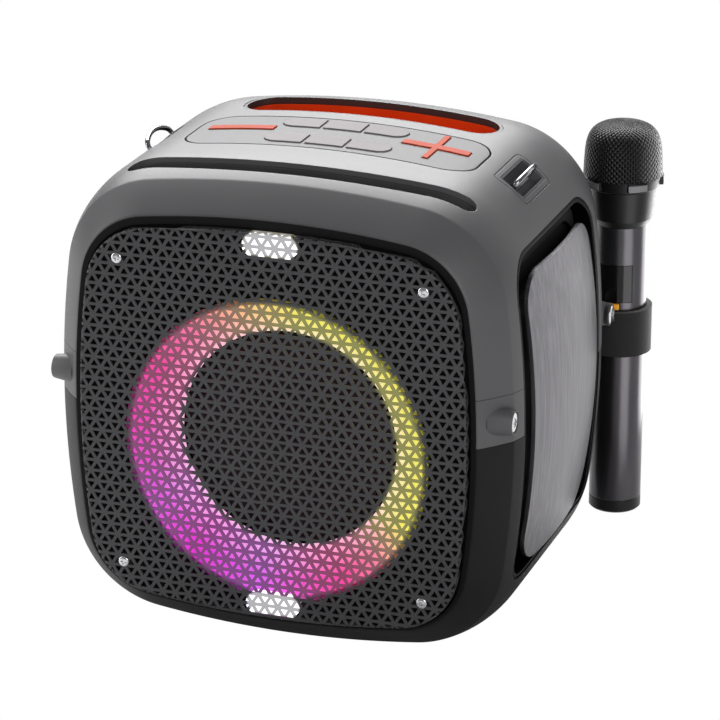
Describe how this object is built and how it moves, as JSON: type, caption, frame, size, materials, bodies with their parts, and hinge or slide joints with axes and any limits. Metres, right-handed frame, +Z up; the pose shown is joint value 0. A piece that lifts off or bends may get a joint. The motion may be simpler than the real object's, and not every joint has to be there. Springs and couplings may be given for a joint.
{
  "type": "portable karaoke speaker",
  "caption": "Rounded-cube karaoke speaker with a lit woofer ring, top keys, tablet slot, handle pocket, strap rings, side radiators and a microphone strapped to its rear corner.",
  "frame": {"origin": "middle of the rubber foot's flat face, on the floor under the housing's middle", "axes": "+X to the right seen from the front, -Y out of the grille, +Z up"},
  "size_m": [0.2834, 0.2438, 0.2653],
  "materials": {
    "grey_case": "fine spark-eroded mid-grey moulding, satin",
    "black_case": "fine spark-eroded black moulding, satin",
    "screw_chrome": "bright plated steel",
    "dark_screw": "blackened steel",
    "foot_rubber": "matt black rubber",
    "grille_steel": "perforated sheet with dark grey powder coat",
    "window_lens": "milky white lens, lit from behind",
    "ring_lens": "milky lens lit from behind in a sweep of colours",
    "circuit_board": "green solder mask",
    "switch_plastic": "black moulding",
    "basket_paint": "pressed steel, black",
    "magnet_ferrite": "ferrite and plated steel",
    "cone_paper": "coated paper cone",
    "coil_copper": "enamelled copper wire",
    "soft_rubber": "moulded rubber",
    "spider_cloth": "resin-dipped cloth",
    "panel_grey": "light grey, semi-gloss",
    "key_grey": "light grey rubber-touch keys",
    "key_red": "brick-red translucent moulding",
    "liner_red": "orange-red glossy moulding",
    "brushed_plate": "brushed aluminium with a clear coat",
    "sink_aluminium": "plain extruded aluminium",
    "cell_wrap": "shrink-wrapped cells",
    "band_elastic": "black elastic band",
    "mic_mesh": "woven steel mesh, black",
    "mic_black": "satin black moulding",
    "mic_gunmetal": "gunmetal lacquer",
    "display_gloss": "glossy black display lens",
    "button_orange": "orange translucent button",
    "capsule_gold": "gold-toned capsule"
  },
  "bodies": {
    "speaker": {"upper_shell": "grey_case", "lower_shell": "black_case", "corner_clamps": "grey_case", "clamp_screws": "screw_chrome", "base_foot": "foot_rubber", "front_frame": "black_case", "baffle": "black_case", "grille": "grille_steel", "grille_screws": "screw_chrome", "light_windows": "window_lens", "light_ring": "ring_lens", "light_board": "circuit_board", "woofer_basket": "basket_paint", "woofer_magnet": "magnet_ferrite", "woofer_surround": "soft_rubber", "spider": "spider_cloth", "woofer_screws": "screw_chrome", "control_panel": "panel_grey", "key_board": "circuit_board", "key_switches": "switch_plastic", "tablet_slot": "switch_plastic", "handle_trim": "switch_plastic", "handle_liner": "liner_red", "strap_mount_left": "switch_plastic", "strap_mount_right": "switch_plastic", "side_frame_left": "black_case", "side_frame_right": "black_case", "radiator_surround_left": "soft_rubber", "radiator_surround_right": "soft_rubber", "rear_panel": "black_case", "socket_plate": "switch_plastic", "rear_screws": "dark_screw", "main_board": "circuit_board", "heat_sink": "sink_aluminium", "battery_pack": "cell_wrap", "mic_band": "band_elastic"},
    "volume_down": {"volume_down_key": "key_red"},
    "volume_up": {"volume_up_key": "key_red"},
    "power": {"power_key": "key_grey"},
    "pairing": {"pairing_key": "key_grey"},
    "light": {"light_key": "key_grey"},
    "play": {"play_key": "key_grey"},
    "sound": {"sound_key": "key_grey"},
    "effect": {"effect_key": "key_grey"},
    "woofer": {"woofer_cone": "cone_paper", "dust_cap": "cone_paper", "voice_coil": "coil_copper"},
    "radiator_left": {"radiator_plate_left": "brushed_plate"},
    "radiator_right": {"radiator_plate_right": "brushed_plate"},
    "ring_left": {"strap_ring_left": "screw_chrome"},
    "ring_right": {"strap_ring_right": "screw_chrome"},
    "microphone": {"mic_grille": "mic_mesh", "mic_collar": "mic_black", "mic_tube": "mic_gunmetal", "mic_display": "display_gloss", "mic_capsule": "capsule_gold", "mic_battery": "cell_wrap"},
    "mic_switch": {"mic_button": "button_orange"},
    "mic_end_cap": {"mic_cap": "mic_black"}
  },
  "joints": [
    {"name": "volume_down_press", "type": "slide", "parent": "speaker", "child": "volume_down", "axis": [0, 0, -1], "range_m": [0, 0.0006], "stiffness_N_per_m": 900, "springref_m": -0.0002},
    {"name": "volume_up_press", "type": "slide", "parent": "speaker", "child": "volume_up", "axis": [0, 0, -1], "range_m": [0, 0.0006], "stiffness_N_per_m": 900, "springref_m": -0.0002},
    {"name": "power_press", "type": "slide", "parent": "speaker", "child": "power", "axis": [0, 0, -1], "range_m": [0, 0.0006], "stiffness_N_per_m": 900, "springref_m": -0.0002},
    {"name": "pairing_press", "type": "slide", "parent": "speaker", "child": "pairing", "axis": [0, 0, -1], "range_m": [0, 0.0006], "stiffness_N_per_m": 900, "springref_m": -0.0002},
    {"name": "light_press", "type": "slide", "parent": "speaker", "child": "light", "axis": [0, 0, -1], "range_m": [0, 0.0006], "stiffness_N_per_m": 900, "springref_m": -0.0002},
    {"name": "play_press", "type": "slide", "parent": "speaker", "child": "play", "axis": [0, 0, -1], "range_m": [0, 0.0006], "stiffness_N_per_m": 900, "springref_m": -0.0002},
    {"name": "sound_press", "type": "slide", "parent": "speaker", "child": "sound", "axis": [0, 0, -1], "range_m": [0, 0.0006], "stiffness_N_per_m": 900, "springref_m": -0.0002},
    {"name": "effect_press", "type": "slide", "parent": "speaker", "child": "effect", "axis": [0, 0, -1], "range_m": [0, 0.0006], "stiffness_N_per_m": 900, "springref_m": -0.0002},
    {"name": "woofer_travel", "type": "slide", "parent": "speaker", "child": "woofer", "axis": [0, -1, 0], "range_m": [-0.003, 0.003], "stiffness_N_per_m": 2500},
    {"name": "radiator_left_travel", "type": "slide", "parent": "speaker", "child": "radiator_left", "axis": [-1, 0, 0], "range_m": [-0.003, 0.003], "stiffness_N_per_m": 3500},
    {"name": "radiator_right_travel", "type": "slide", "parent": "speaker", "child": "radiator_right", "axis": [1, 0, 0], "range_m": [-0.003, 0.003], "stiffness_N_per_m": 3500},
    {"name": "strap_ring_left_swing", "type": "hinge", "parent": "speaker", "child": "ring_left", "pos_m": [-0.10016, 0.0032, 0.2446], "axis": [0, 1, 0], "range_deg": [-50, 50]},
    {"name": "strap_ring_right_swing", "type": "hinge", "parent": "speaker", "child": "ring_right", "pos_m": [0.10016, 0.0032, 0.2446], "axis": [0, 1, 0], "range_deg": [-50, 50]},
    {"name": "microphone_lift", "type": "slide", "parent": "speaker", "child": "microphone", "axis": [0, 0, 1], "range_m": [0, 0.2]},
    {"name": "mic_switch_press", "type": "slide", "parent": "microphone", "child": "mic_switch", "axis": [0, 1, 0], "range_m": [0, 0.0005], "stiffness_N_per_m": 900, "springref_m": -0.0002},
    {"name": "mic_cap_turn", "type": "hinge", "parent": "microphone", "child": "mic_end_cap", "pos_m": [0.1269, 0.1147, 0.03], "axis": [0, 0, 1], "range_deg": [0, 90]}
  ]
}
